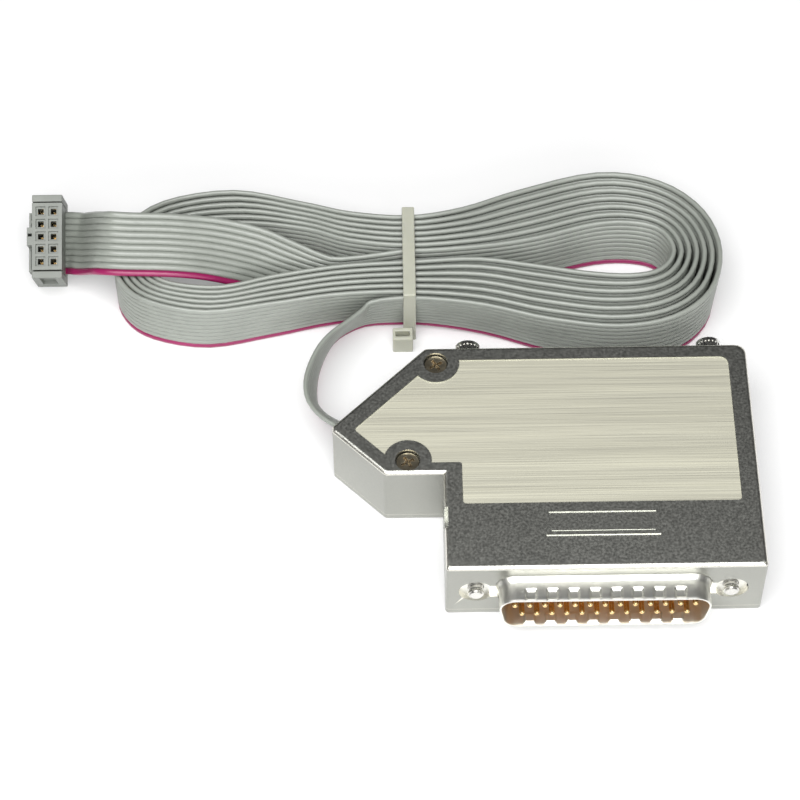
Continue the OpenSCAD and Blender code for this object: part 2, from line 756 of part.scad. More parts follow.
// Socket's own axes: x away from the ribbon, y along the body, z towards the mating face
module socket_place() {
  in_frame() translate(socket_at) rotate([socket_tilt, 0, 0]) children();
}

module at_holes() {
  for (i = [0:hole_columns - 1], j = [0:hole_rows - 1])
    translate([j - (hole_rows - 1) / 2, i - (hole_columns - 1) / 2, 0] * hole_pitch) children();
}

socket_gap = 0.46;                   // half the ribbon's thickness, with a trace of room
arm_t = 1.4;                         // the cover's arms at both ends, their window and the seam beside them
arm_window_w = 3;
arm_window_h = 6.6;
arm_window_depth = 0.8;
seam = 0.25;
body_l = socket_l - 2 * (arm_t + seam);
socket_top = socket_gap + socket_h;
key_w = 3.6;
key_t = 1;
ledge_t = 0.95;                      // ledge along the key's side
ledge_h = 3.2;
ledge_from = -6.6;
ledge_l = 12;
ledge_slots = [[-6.2, 4.2], [2.5, 0.8], [3.9, 1.1]];             // start and length of its slots
ledge_slot_w = 0.5;
key_slot = 0.6;

module socket_body() {
  color([0.8, 0.81, 0.78]) socket_place() difference() {
    union() {
      translate([-socket_w / 2, -body_l / 2, socket_gap]) cube([socket_w, body_l, socket_h]);
      translate([-socket_w / 2 - key_t, -key_w / 2, socket_gap + 1.6])
        cube([key_t + tiny, key_w, socket_h - 1.6]);
      translate([-socket_w / 2 - ledge_t, ledge_from, socket_gap]) cube([ledge_t + tiny, ledge_l, ledge_h]);
    }
    for (slot = ledge_slots) translate([-socket_w / 2 - ledge_slot_w, slot[0], socket_gap + 0.6])
      cube([ledge_slot_w, slot[1], ledge_h]);
    translate([-socket_w / 2 - key_t + 0.2, 0, socket_gap + ledge_h])
      cube([key_t - 0.2, key_slot, socket_h]);
    at_holes() {
      translate([-hole_size / 2, -hole_size / 2, 3]) cube([hole_size, hole_size, 9]);
      translate([-cavity_size / 2, -cavity_size / 2, 0]) cube([cavity_size, cavity_size, 5]);
      translate([-hole_lead_in / 2, -hole_lead_in / 2, socket_top - 0.45])
        cube([hole_lead_in, hole_lead_in, 1]);
    }
  }
}

// Cover under the ribbon, with an arm up each end of the body
module socket_cover() {
  color([0.78, 0.79, 0.76]) socket_place() {
    translate([-socket_w / 2, -socket_l / 2, -socket_gap - socket_cover_t])
      cube([socket_w, socket_l, socket_cover_t]);
    for (end = [0, 180]) rotate([0, 0, end]) difference() {
      translate([-socket_w / 2, socket_l / 2 - arm_t, -socket_gap - tiny])
        cube([socket_w, arm_t, socket_top + socket_gap - 0.1]);
      translate([-arm_window_w / 2, socket_l / 2 - arm_window_depth, socket_top - 0.6 - arm_window_h])
        cube([arm_window_w, 2, arm_window_h]);
    }
  }
}

contact_w = 1;
contact_h = 2.4;
contact_t = 0.2;
contact_z = 0.7;

// Forked springs, one under each hole
module socket_contacts() {
  color([0.85, 0.7, 0.35]) socket_place() at_holes() {
    translate([-0.6, -0.6, contact_z]) cube([1.2, 1.2, 0.3]);
    for (y = [-0.55, 0.35]) translate([-contact_w / 2, y, contact_z]) cube([contact_w, contact_t, contact_h]);
  }
}

top_shell();
bottom_cover();
housing_screws();
plug_front_shell();
plug_rear_shell();
front_insulator();
rear_insulator();
contact_pins();
flange_eyelets();
left_retaining_clip();
right_retaining_clip();
left_jackscrew();
right_jackscrew();
circuit_board();
buffer_chip();
chip_legs();
resistors();
bypass_capacitor();
cable_clamp();
clamp_screw();
ribbon_lead();
ribbon_hank();
ribbon_tail();
tie_strap();
tie_head();
socket_body();
socket_cover();
socket_contacts();
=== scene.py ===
"""Microcontroller programmer in the hood of a 25-way D-sub plug, with a ribbon lead tied in a hank.

Metres, in the frame of the CAD model: the plug faces -Y and the part lies on Z = 0.
"""
import math

import bmesh
import bpy
from mathutils import Matrix, Vector


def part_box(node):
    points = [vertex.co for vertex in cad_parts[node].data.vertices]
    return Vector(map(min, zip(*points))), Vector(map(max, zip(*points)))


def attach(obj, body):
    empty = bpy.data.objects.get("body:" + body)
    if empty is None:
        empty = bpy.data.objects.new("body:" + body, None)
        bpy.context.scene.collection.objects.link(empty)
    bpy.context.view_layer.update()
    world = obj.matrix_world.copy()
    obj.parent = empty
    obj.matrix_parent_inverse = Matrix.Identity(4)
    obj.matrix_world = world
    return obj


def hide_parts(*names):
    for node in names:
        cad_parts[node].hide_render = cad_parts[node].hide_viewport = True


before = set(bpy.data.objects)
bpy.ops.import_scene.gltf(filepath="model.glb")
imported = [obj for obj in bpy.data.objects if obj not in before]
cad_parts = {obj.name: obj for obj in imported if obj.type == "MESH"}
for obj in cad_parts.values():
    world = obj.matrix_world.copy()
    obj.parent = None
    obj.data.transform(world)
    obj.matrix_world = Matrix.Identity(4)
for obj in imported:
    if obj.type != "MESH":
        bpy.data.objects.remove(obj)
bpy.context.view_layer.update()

MM = 0.001

# The points below are in millimetres from the plug's centre line and the hood's front face.
plug_low, plug_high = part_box("plug_front_shell")
hood_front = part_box("top_shell")[0][1]
WORK = Vector(((plug_low[0] + plug_high[0]) / 2, hood_front, 0))


def at(x, y, z):
    """A point of the working frame, in metres in the model's frame."""
    return WORK + Vector((x, y, z)) * MM


# ---------------------------------------------------------------- camera

LENS_MM = 122.85
SENSOR_MM = 36
CAMERA_PITCH = math.radians(55.2)
CAMERA_YAW = math.radians(0.46)
CAMERA_ROLL = math.radians(0.44)
CAMERA_AT = at(-39.32, -257.83, 441.02)


def make_camera():
    ahead = Vector((
        math.sin(CAMERA_YAW) * math.cos(CAMERA_PITCH),
        math.cos(CAMERA_YAW) * math.cos(CAMERA_PITCH),
        -math.sin(CAMERA_PITCH),
    ))
    level = Vector((math.cos(CAMERA_YAW), -math.sin(CAMERA_YAW), 0))
    down = ahead.cross(level)
    right = math.cos(CAMERA_ROLL) * level + math.sin(CAMERA_ROLL) * down
    up = math.sin(CAMERA_ROLL) * level - math.cos(CAMERA_ROLL) * down
    data = bpy.data.cameras.new("camera")
    data.lens = LENS_MM
    data.sensor_width = SENSOR_MM
    data.clip_start = 0.01
    camera = bpy.data.objects.new("camera", data)
    turn = Matrix((right, up, -ahead)).transposed().to_4x4()
    camera.matrix_world = Matrix.Translation(CAMERA_AT) @ turn
    bpy.context.collection.objects.link(camera)
    bpy.context.scene.camera = camera


make_camera()

# ---------------------------------------------------------------- material helpers

WORN_FROM = 0.505               # Blender's pointiness is 0.5 on a flat face
WORN_TO = 0.53


class Nodes:
    """Short calls that add nodes to one material and join them up."""

    def __init__(self, name):
        self.material = bpy.data.materials.new(name)
        self.material.use_nodes = True
        self.tree = self.material.node_tree
        self.shader = self.tree.nodes["Principled BSDF"]
        self.place = self.tree.nodes.new("ShaderNodeTexCoord").outputs["Object"]

    def add(self, kind, inputs=None, **settings):
        node = self.tree.nodes.new(kind)
        for key, value in settings.items():
            setattr(node, key, value)
        for key, value in (inputs or {}).items():
            self.put(node.inputs[key], value)
        return node

    def put(self, socket, value):
        if isinstance(value, bpy.types.NodeSocket):
            self.tree.links.new(value, socket)
        elif isinstance(value, tuple) and len(value) == 3 and socket.type == "RGBA":
            socket.default_value = (*value, 1)
        else:
            socket.default_value = value

    def set(self, **values):
        for key, value in values.items():
            self.put(self.shader.inputs[key.replace("_", " ")], value)

    def stretched(self, x, y, z):
        """The place in the object, with so many features per metre in each direction."""
        return self.add("ShaderNodeMapping", {"Vector": self.place, "Scale": (x, y, z)}).outputs[0]

    def noise(self, where, detail=3.0, rough=0.55):
        values = {"Vector": where, "Scale": 1.0, "Detail": detail, "Roughness": rough}
        return self.add("ShaderNodeTexNoise", values).outputs["Fac"]

    def clouds(self, per_metre, detail=3.0):
        """Noise of the same size in every direction."""
        return self.noise(self.stretched(per_metre, per_metre, per_metre), detail)

    def calc(self, operation, a, b, c=0.0):
        return self.add("ShaderNodeMath", {0: a, 1: b, 2: c}, operation=operation).outputs[0]

    def fit(self, value, low, high, to_low=0.0, to_high=1.0):
        values = {"Value": value, "From Min": low, "From Max": high, "To Min": to_low, "To Max": to_high}
        return self.add("ShaderNodeMapRange", values).outputs[0]

    def mix(self, amount, first, second):
        """A value between two values."""
        node = self.add("ShaderNodeMix", data_type="FLOAT")
        self.put(node.inputs[0], amount)
        self.put(node.inputs[2], first)
        self.put(node.inputs[3], second)
        return node.outputs[0]

    def blend(self, amount, first, second):
        """A colour between two colours."""
        node = self.add("ShaderNodeMix", data_type="RGBA")
        self.put(node.inputs[0], amount)
        self.put(node.inputs[6], first)
        self.put(node.inputs[7], second)
        return node.outputs[2]

    def bump(self, height, distance, strength=1.0):
        values = {"Height": height, "Distance": distance, "Strength": strength}
        self.put(self.shader.inputs["Normal"], self.add("ShaderNodeBump", values).outputs[0])

    def axes(self, vector):
        return self.add("ShaderNodeSeparateXYZ", {0: vector}).outputs

    def worn(self):
        """1 at sharp outer edges, 0 elsewhere."""
        return self.fit(self.add("ShaderNodeNewGeometry").outputs["Pointiness"], WORN_FROM, WORN_TO)


# ---------------------------------------------------------------- the ribbon's route

CONDUCTORS = 10
WIRE_PITCH = 1.27
WIRE_HALF_WIDTH = 0.66
WIRE_HALF_HEIGHT = 0.5
RIBBON_HALF = CONDUCTORS * WIRE_PITCH / 2

# x, y, z of the ribbon's middle and its lean from upright, in degrees to the right of its way.
# LEAD goes from the hank back to the circuit board, and TAIL from the hank to the socket.
LEAD = [
    (-42, 65.2, 6.6, -15), (-45.5, 63.4, 6.4, -21), (-48.5, 60.8, 6.4, -22), (-51, 57.2, 6.5, -14),
    (-52.9, 52.8, 6.8, -5), (-53.8, 48.4, 6.9, 3), (-53.7, 44.4, 7.1, 12), (-52.2, 41, 7.4, 24),
    (-49.4, 38.3, 7.8, 33), (-46, 36.2, 8.1, 36), (-42.5, 34.8, 9.2, 48), (-38.8, 34.3, 11, 68),
    (-35, 34.2, 12.2, 84), (-31, 34.2, 12.5, 90), (-26, 34.2, 12.5, 90), (-20, 34.2, 12.4, 90),
    (-17.4, 34.2, 11, 90), (-16, 34.2, 9.4, 90),
]
TAIL = [
    (-48, 74.3, 6.6, 0), (-54, 74.3, 7.2, 10), (-60, 74.8, 9.2, 28), (-66, 75.7, 11.5, 45),
    (-74, 76, 14.1, 58), (-82, 75.5, 16.1, 60), (-90, 75.4, 16.7, 60), (-94.5, 76, 16.4, 55),
    (-97.5, 78.4, 13.4, 42), (-100.2, 81.4, 9.4, 42), (-103, 83.6, 6.9, 59), (-109.6, 83.9, 6.7, 63),
]

# The hank's turns lie between these two outlines, from the tie's front round to the right:
# x and y of the outermost layer, x and y of the innermost, and the degrees that each leans outwards
HANK = [
    (-34.7, 64.6, -34.7, 73.6, 12, 10), (-20, 62.8, -21, 74.2, 9, 6), (-7, 59, -10, 72.3, 5, 2),
    (6, 56.8, 0, 70.1, 2, 0), (17, 58.6, 9, 69.3, 0, 0), (24.6, 65, 15, 70.7, 2, 0),
    (27.1, 75, 17.8, 75.2, 6, 2), (24, 85, 16, 80, 11, 3), (16, 92, 11, 82.1, 15, 4),
    (4, 94.3, 3, 82, 16, 4), (-12, 90.3, -9, 78.8, 12, 3), (-24, 85.8, -21, 76.5, 7, 2),
    (-34.7, 84, -34.7, 75.2, 3, 2), (-46, 85.6, -46.3, 77.1, 2, 2), (-56, 88.7, -54.5, 80.6, 3, 1),
    (-70, 91.9, -65, 82.3, 4, 0), (-84, 89.4, -77, 82.3, 3, 0), (-91.4, 83, -84, 79.6, 1, 0),
    (-93.4, 75, -85.6, 75.3, 0, 0), (-91.6, 68.6, -84, 71.4, 0, 0), (-86, 64, -79.5, 69.4, 0, 0),
    (-75, 61.2, -71, 68.8, 2, 1), (-62, 62.8, -61.5, 71.2, 5, 4), (-50, 64.5, -49.5, 73.1, 9, 8),
]
LAYERS = 7                      # runs of the ribbon at the tie's front, and as many at its back
SKIN = 0.5                      # from the outline to the middle of the outermost layer
STEP_DOWN_FROM = 0.8            # part of each turn, in which the ribbon moves in by one layer
TIE_X = -34.7
TIE_LIFT = 1.15                 # the tie's lower run is under the ribbon here
TIE_LIFT_REACH = 26
FLOOR_GAP = 0.06
HANK_STEPS = 4                  # rings of the tube between two points of an outline
ROUTE_STEPS = 3                 # and between two points of LEAD or TAIL


def curve_at(a, b, c, d, t):
    """Catmull-Rom curve through b and c, in any dimension."""
    return [
        0.5 * (2 * q + (r - p) * t + (2 * p - 5 * q + 4 * r - s) * t ** 2 + (3 * q - p - 3 * r + s) * t ** 3)
        for p, q, r, s in zip(a, b, c, d)
    ]


def open_curve(points, steps):
    last = len(points) - 1
    for i in range(last):
        ends = points[max(i - 1, 0)], points[i], points[i + 1], points[min(i + 2, last)]
        for k in range(steps):
            yield curve_at(*ends, k / steps)
    yield list(points[last])


def smooth(t):
    t = min(max(t, 0), 1)
    return t * t * (3 - 2 * t)


def tie_lift(x):
    return TIE_LIFT * smooth(1 - abs(x - TIE_X) / TIE_LIFT_REACH)


def hank_point(turn):
    """Place and lean of the wound ribbon's middle after a number of turns."""
    n = len(HANK)
    place = turn % 1 * n
    i = int(place)
    x0, y0, x1, y1, lean0, lean1 = curve_at(
        HANK[i - 1], HANK[i], HANK[(i + 1) % n], HANK[(i + 2) % n], place - i)
    depth = int(turn) + smooth((turn % 1 - STEP_DOWN_FROM) / (1 - STEP_DOWN_FROM))
    inward = math.hypot(x1 - x0, y1 - y0)
    share = (SKIN + (inward - SKIN) * depth / (LAYERS - 1)) / inward
    x, y, lean = (p + (q - p) * share for p, q in ((x0, x1), (y0, y1), (lean0, lean1)))
    z = RIBBON_HALF * math.cos(math.radians(lean)) + WIRE_HALF_HEIGHT * math.sin(math.radians(abs(lean)))
    return [x, y, z + FLOOR_GAP + tie_lift(x), lean]


def whole_route():
    """Place and lean of the ribbon's middle from the circuit board to the socket."""
    lead = [(x, y, z, -lean) for x, y, z, lean in reversed(LEAD)]
    turns = (LAYERS - 0.5) * len(HANK)
    count = round(turns * HANK_STEPS)
    wound = [hank_point(k / HANK_STEPS / len(HANK)) for k in range(count + 1)]
    return [
        *list(open_curve([*lead, wound[0]], ROUTE_STEPS))[:-1],
        *wound,
        *list(open_curve([wound[-1], *TAIL], ROUTE_STEPS))[1:],
    ]


ROUTE = whole_route()


def ribbon_axes(k):
    """Middle of the ribbon at one ring, its width's direction and its face's direction."""
    here = Vector(ROUTE[k][:3])
    way = (Vector(ROUTE[min(k + 1, len(ROUTE) - 1)][:3]) - Vector(ROUTE[max(k - 1, 0)][:3])).normalized()
    right = Vector((way.y, -way.x, 0)).normalized()
    lean = math.radians(ROUTE[k][3])
    across = math.cos(lean) * right.cross(way) + math.sin(lean) * right
    return here, across, way.cross(across)


AXES = [ribbon_axes(k) for k in range(len(ROUTE))]


# ---------------------------------------------------------------- materials


def make_ribbon(name, shade, colour):
    """Satin PVC: a little cloudy, with a fine grain that is flattened in height."""
    m = Nodes(name)
    marks = m.noise(m.stretched(900, 900, 2600), 2)
    m.set(Base_Color=m.blend(m.fit(m.clouds(120, 4), 0.2, 0.8), shade, colour))
    m.set(Roughness=m.fit(marks, 0.3, 0.7, 0.3, 0.44))
    m.shader.inputs["Coat Weight"].default_value = 0.25
    m.shader.inputs["Coat Roughness"].default_value = 0.25
    m.shader.inputs["Specular IOR Level"].default_value = 0.55
    m.bump(marks, 0.00003, 0.5)
    return m.material


def make_metal(name, colour, dark, rough, grain=700.0, spread=0.1, edge=None):
    """Plated metal: cloudy tone, fine grain, and brighter rubbed edges where a colour is given for them."""
    m = Nodes(name)
    fine = m.clouds(grain)
    tone = m.blend(m.fit(m.clouds(90, 5), 0.3, 0.7), dark, colour)
    if edge:
        tone = m.blend(m.calc("MULTIPLY", m.worn(), 0.7), tone, edge)
    m.set(Base_Color=tone, Metallic=1.0)
    m.set(Roughness=m.fit(fine, 0.25, 0.75, rough, rough + spread))
    m.bump(fine, 0.00002, 0.35)
    return m.material


PANEL_Z = 15.6 * MM             # the brushed panel's height, a little under the border's
PANEL_NEAR = 0.1 * MM


def make_hood():
    """Nickel-plated casting: smooth border and brushed panel in the top; the side faces are a darker copy of
    the plating, as painted shade, and the upper rounded edges are painted brighter, as painted highlight and
    rubbed plating.
    """
    m = Nodes("hood_metal")
    height = m.axes(m.place)[2]
    up = m.axes(m.add("ShaderNodeNewGeometry").outputs["Normal"])[2]
    near_panel = m.calc("COMPARE", height, PANEL_Z, PANEL_NEAR)
    panel = m.calc("MULTIPLY", near_panel, m.calc("GREATER_THAN", up, 0.9))
    top = m.calc("GREATER_THAN", up, 0.6)
    rounded = m.calc("MULTIPLY", m.fit(up, 0.15, 0.3), m.fit(up, 0.97, 0.85))
    cloudy = m.clouds(30, 2)
    grain = m.clouds(2200, 2)
    strokes = m.noise(m.stretched(22, 3600, 200), 3, 0.7)
    broad = m.noise(m.stretched(9, 700, 100), 4, 0.65)
    # The border and the side faces are lit and shaded copies of one plating: the sides' darker colour is
    # painted shade.
    border = m.blend(m.fit(cloudy, 0.3, 0.7), (0.7, 0.705, 0.65), (0.81, 0.815, 0.755))
    shaded_walls = m.blend(m.fit(cloudy, 0.3, 0.7), (0.37, 0.373, 0.343), (0.43, 0.434, 0.4))
    brushed = m.blend(m.fit(broad, 0.3, 0.7), (0.75, 0.735, 0.62), (0.88, 0.865, 0.735))
    # Painted highlight, also meant as rubbed plating: the upward-facing rounded edges are lightened towards
    # a cream colour.
    highlight_and_rub = m.calc("MULTIPLY", rounded, m.fit(cloudy, 0.3, 0.5, 0.6, 1.0))
    body = m.blend(highlight_and_rub, m.blend(top, shaded_walls, border), (0.9, 0.88, 0.8))
    m.set(Base_Color=m.blend(panel, body, brushed), Metallic=1.0)
    m.set(Roughness=m.mix(panel, m.fit(grain, 0.3, 0.7, 0.3, 0.4), m.fit(strokes, 0.3, 0.7, 0.56, 0.76)))
    m.bump(m.mix(panel, m.calc("MULTIPLY", grain, 0.12), strokes), 0.00006, 0.5)
    return m.material


def make_plastic(name, colour, shade, rough, through=0.0):
    """Moulded plastic: faint flow clouds and a fine moulded grain; some light may pass through."""
    m = Nodes(name)
    fine = m.clouds(600)
    m.set(Base_Color=m.blend(m.fit(m.clouds(150, 4), 0.3, 0.7), shade, colour))
    m.set(Roughness=m.fit(fine, 0.3, 0.7, rough - 0.06, rough + 0.06))
    if through:
        m.shader.inputs["Subsurface Weight"].default_value = through
        m.shader.inputs["Subsurface Radius"].default_value = (0.002, 0.002, 0.0015)
        m.shader.inputs["Subsurface Scale"].default_value = 1.0
    m.bump(fine, 0.00003, 0.3)
    return m.material


def make_board():
    """Green solder mask over tracks that show through."""
    m = Nodes("board_green")
    tracks = m.add("ShaderNodeTexBrick", {"Vector": m.stretched(260, 260, 260), "Scale": 1.0})
    tracks.inputs["Color1"].default_value = (0.02, 0.16, 0.07, 1)
    tracks.inputs["Color2"].default_value = (0.03, 0.2, 0.09, 1)
    tracks.inputs["Mortar"].default_value = (0.06, 0.3, 0.14, 1)
    m.set(Base_Color=tracks.outputs["Color"])
    m.set(Roughness=m.fit(m.clouds(400), 0.3, 0.7, 0.28, 0.4))
    m.bump(tracks.outputs["Fac"], 0.00003, 0.5)
    return m.material


RIBBON_GREY = make_ribbon("ribbon_grey", (0.255, 0.272, 0.243), (0.32, 0.34, 0.305))
RIBBON_MARK = make_ribbon("ribbon_magenta", (0.25, 0.008, 0.075), (0.33, 0.014, 0.11))
HOOD = make_hood()
STEEL = make_metal("screw_steel", (0.62, 0.61, 0.58), (0.42, 0.42, 0.41), 0.24, edge=(0.85, 0.84, 0.8))
BRASSY = make_metal("brassy_plate", (0.45, 0.38, 0.27), (0.28, 0.24, 0.18), 0.28, edge=(0.85, 0.75, 0.55))
PLUG = make_metal("plug_plate", (0.9, 0.89, 0.83), (0.74, 0.74, 0.7), 0.34, 1500.0, 0.08, (0.95, 0.94, 0.88))
SPRING = make_metal("spring_steel", (0.3, 0.31, 0.33), (0.2, 0.21, 0.23), 0.3)
GOLD = make_metal("gold_plate", (0.95, 0.62, 0.22), (0.8, 0.46, 0.14), 0.16, 1500.0, 0.08, (1.0, 0.8, 0.45))
TINNED = make_metal("tinned", (0.8, 0.8, 0.8), (0.68, 0.68, 0.69), 0.22)
BLACK = make_plastic("black_plastic", (0.03, 0.03, 0.033), (0.018, 0.018, 0.02), 0.42)
BROWN = make_plastic("brown_plastic", (0.34, 0.14, 0.035), (0.22, 0.09, 0.02), 0.35)
BOARD = make_board()
RESISTOR = make_plastic("resistor_body", (0.55, 0.42, 0.25), (0.48, 0.36, 0.2), 0.35)
CAPACITOR = make_plastic("capacitor_body", (0.62, 0.33, 0.08), (0.54, 0.27, 0.06), 0.3)
TIE = make_plastic("tie_nylon", (0.5, 0.505, 0.42), (0.44, 0.445, 0.37), 0.4, 0.35)
SOCKET = make_plastic("socket_grey", (0.2, 0.212, 0.19), (0.17, 0.182, 0.163), 0.45)

FINISHES = {
    "top_shell": HOOD, "bottom_cover": HOOD, "housing_screws": BRASSY,
    "plug_front_shell": PLUG, "plug_rear_shell": PLUG, "flange_eyelets": PLUG,
    "front_insulator": BROWN, "rear_insulator": BLACK, "contact_pins": GOLD,
    "left_retaining_clip": SPRING, "right_retaining_clip": SPRING,
    "left_jackscrew": STEEL, "right_jackscrew": STEEL,
    "circuit_board": BOARD, "buffer_chip": BLACK, "chip_legs": TINNED,
    "resistors": RESISTOR, "bypass_capacitor": CAPACITOR,
    "cable_clamp": BLACK, "clamp_screw": STEEL,
    "tie_strap": TIE, "tie_head": TIE,
    "socket_body": SOCKET, "socket_cover": SOCKET, "socket_contacts": GOLD,
}
for node, finish in FINISHES.items():
    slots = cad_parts[node].data.materials
    if not slots:
        slots.append(finish)
    for i in range(len(slots)):
        slots[i] = finish


# ---------------------------------------------------------------- mesh helpers


def new_piece(name, mesh_maker, finish, body="hood"):
    """Builds one piece with bmesh, gives it a finish and makes it ride on a body."""
    grid = bmesh.new()
    mesh_maker(grid)
    bmesh.ops.recalc_face_normals(grid, faces=grid.faces)
    mesh = bpy.data.meshes.new(name)
    grid.to_mesh(mesh)
    grid.free()
    for polygon in mesh.polygons:
        polygon.use_smooth = True
    mesh.materials.append(finish)
    piece = bpy.data.objects.new(name, mesh)
    bpy.context.collection.objects.link(piece)
    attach(piece, body)
    return piece


def skin(grid, rings):
    """Closed tube through rings of points."""
    verts = [[grid.verts.new(p) for p in ring] for ring in rings]
    m = len(verts[0])
    for before, after in zip(verts, verts[1:]):
        for i in range(m):
            grid.faces.new((before[i], before[(i + 1) % m], after[(i + 1) % m], after[i]))
    grid.faces.new(verts[0][::-1])
    grid.faces.new(verts[-1])


SAME_SURFACE = math.cos(math.radians(50))       # faces at less than this angle share their normals
FLAT = math.radians(0.5)
SHARP = math.radians(35)
WELD = 1e-6


def corner_normals(grid):
    """A normal for each face corner: large faces stay flat, and rounded edges turn between them."""
    areas = {face: face.calc_area() for face in grid.faces}
    normals = []
    for face in grid.faces:
        for loop in face.loops:
            near = [other for other in loop.vert.link_faces if other.normal.dot(face.normal) > SAME_SURFACE]
            total = sum((other.normal * areas[other] for other in near), Vector())
            normals.append(total.normalized() if total.length else face.normal.copy())
    return normals


def refined(node, finish, round_by, body="hood"):
    """A CAD node's shape with its flat faces merged and its sharp edges rounded."""
    grid = bmesh.new()
    grid.from_mesh(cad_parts[node].data)
    bmesh.ops.remove_doubles(grid, verts=grid.verts, dist=WELD)
    bmesh.ops.dissolve_limit(grid, angle_limit=FLAT, verts=grid.verts, edges=grid.edges)
    sharp = [edge for edge in grid.edges if edge.is_manifold and edge.calc_face_angle() > SHARP]
    bmesh.ops.bevel(
        grid, geom=sharp, offset=round_by * MM, segments=2, profile=0.5,
        affect="EDGES", clamp_overlap=True)
    grid.normal_update()
    normals = corner_normals(grid)
    mesh = bpy.data.meshes.new(node + "_finished")
    grid.to_mesh(mesh)
    grid.free()
    for polygon in mesh.polygons:
        polygon.use_smooth = True
    mesh.normals_split_custom_set(normals)
    mesh.materials.append(finish)
    piece = bpy.data.objects.new(node + "_finished", mesh)
    bpy.context.collection.objects.link(piece)
    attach(piece, body)
    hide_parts(node)
    return piece


# ---------------------------------------------------------------- ribbon, with its tie and its socket

ON_RIBBON = [
    refined("socket_body", SOCKET, 0.1), refined("socket_cover", SOCKET, 0.12),
    refined("tie_strap", TIE, 0.25), refined("tie_head", TIE, 0.25),
]

WIRE_SIDES = 10
WIRE_SECTION = [
    (WIRE_HALF_WIDTH * math.cos(a), WIRE_HALF_HEIGHT * math.sin(a))
    for a in (2 * math.pi * (k + 0.5) / WIRE_SIDES for k in range(WIRE_SIDES))
]


def make_conductor(index):
    """One insulated wire of the ribbon; the first is the marked one, at the ribbon's lower edge."""
    offset = (index - (CONDUCTORS - 1) / 2) * WIRE_PITCH
    middles = [here + offset * across for here, across, _ in AXES]
    rings = [
        [at(*(middle + p * across + q * face)) for p, q in WIRE_SECTION]
        for middle, (_, across, face) in zip(middles, AXES)
    ]
    wire = new_piece(
        f"conductor_{index + 1}", lambda grid: skin(grid, rings),
        RIBBON_MARK if index == 0 else RIBBON_GREY)
    return wire


wires = [make_conductor(i) for i in range(CONDUCTORS)]
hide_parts("ribbon_lead", "ribbon_hank", "ribbon_tail")


# ---------------------------------------------------------------- hood and screws

refined("top_shell", HOOD, 0.1)
refined("bottom_cover", HOOD, 0.1)
refined("housing_screws", BRASSY, 0.12)
for side in ("left", "right"):
    refined(side + "_jackscrew", STEEL, 0.06, side + "_screw")


# ---------------------------------------------------------------- plug shell

SHELL_W = 38.96
SHELL_H = 8.36
SHELL_SHEET = 0.45
SHELL_CORNER = 2.6
SHELL_SLOPE = math.radians(10)
SHELL_RIM_Y = -5
SHELL_ARC_STEPS = 8
SHELL_STEP = 0.2                # from one ring of the straight part to the next
FLANGE_Y = 0.9
FLANGE_T = 0.5
DIMPLE = 1.9
DIMPLE_PITCH = 3.9
DIMPLES = 8
DIMPLE_DEPTH = 0.42
DIMPLE_WALL = 0.45              # width of the slope at a dimple's edge
DIMPLE_Y = -3.45                # the dimples' middle
WIDE_FACE = 0.6                 # the wide faces are the outline's points within this of its top or bottom
FLANGE_W = 53.04
FLANGE_H = 12.55
FLANGE_HOLE_GAP = 0.5           # from the shell's straight outside to the edge of the flange's opening
FLANGE_HOLE_STEP = 0.8
FLANGE_CORNER = 1.2
FLANGE_CORNER_STEPS = 5
EYELET_R = 1.9
EYELET_SIDES = 32
SCREW_X = 23.52
PLUG_Z = (plug_low[2] + plug_high[2]) / 2 / MM


def plug_outline(margin, step=0.16):
    """The D-shaped outline, wide side up, as x and z with a point every step or so."""
    narrow = SHELL_W / 2 - SHELL_H * math.tan(SHELL_SLOPE)
    sharp = [Vector(p) for p in (
        (-narrow, -SHELL_H / 2), (narrow, -SHELL_H / 2),
        (SHELL_W / 2, SHELL_H / 2), (-SHELL_W / 2, SHELL_H / 2))]
    radius = SHELL_CORNER + margin
    corners = []
    for i, corner in enumerate(sharp):
        back, on = (sharp[i - 1] - corner).normalized(), (sharp[(i + 1) % 4] - corner).normalized()
        half = math.acos(back.dot(on)) / 2
        centre = corner + (back + on).normalized() * SHELL_CORNER / math.sin(half)
        start = corner + back * SHELL_CORNER / math.tan(half) - centre
        end = corner + on * SHELL_CORNER / math.tan(half) - centre
        turn = start.angle_signed(end)
        arc = []
        for k in range(SHELL_ARC_STEPS + 1):
            spot = start.copy()
            spot.rotate(Matrix.Rotation(-turn * k / SHELL_ARC_STEPS, 2))
            arc.append(centre + spot.normalized() * radius)
        corners.append(arc)
    points = []
    for arc, following in zip(corners, corners[1:] + corners[:1]):
        points += arc
        gap = following[0] - arc[-1]
        count = round(gap.length / step)
        points += [arc[-1] + gap * k / count for k in range(1, count)]
    return points


def dimple_at(x, y, z):
    """How far the shell is pressed in at a point of its wide faces."""
    if abs(z) < SHELL_H / 2 - WIDE_FACE:
        return 0
    along = abs(y - DIMPLE_Y)
    across = min(abs(x - (k - (DIMPLES - 1) / 2) * DIMPLE_PITCH) for k in range(DIMPLES))
    inside = [smooth((DIMPLE / 2 - away) / DIMPLE_WALL + 0.5) for away in (along, across)]
    return DIMPLE_DEPTH * inside[0] * inside[1]


# Each ring's y, and how far it stands out from the shell's straight outside
FLARE = [(FLANGE_Y, 0.55), (0.3, 0.5), (0, 0.42), (-0.3, 0.28), (-0.6, 0.15), (-0.9, 0.05)]
STRAIGHT = [(-1.2 - SHELL_STEP * k, 0) for k in range(18)]
RIM = [(SHELL_RIM_Y + y, out) for y, out in ((0.08, -0.06), (0, -0.16), (0, -0.29), (0.08, -0.39))]
INSIDE = [(y, -SHELL_SHEET) for y, _ in reversed(STRAIGHT)] + [(FLANGE_Y + FLANGE_T, -SHELL_SHEET)]


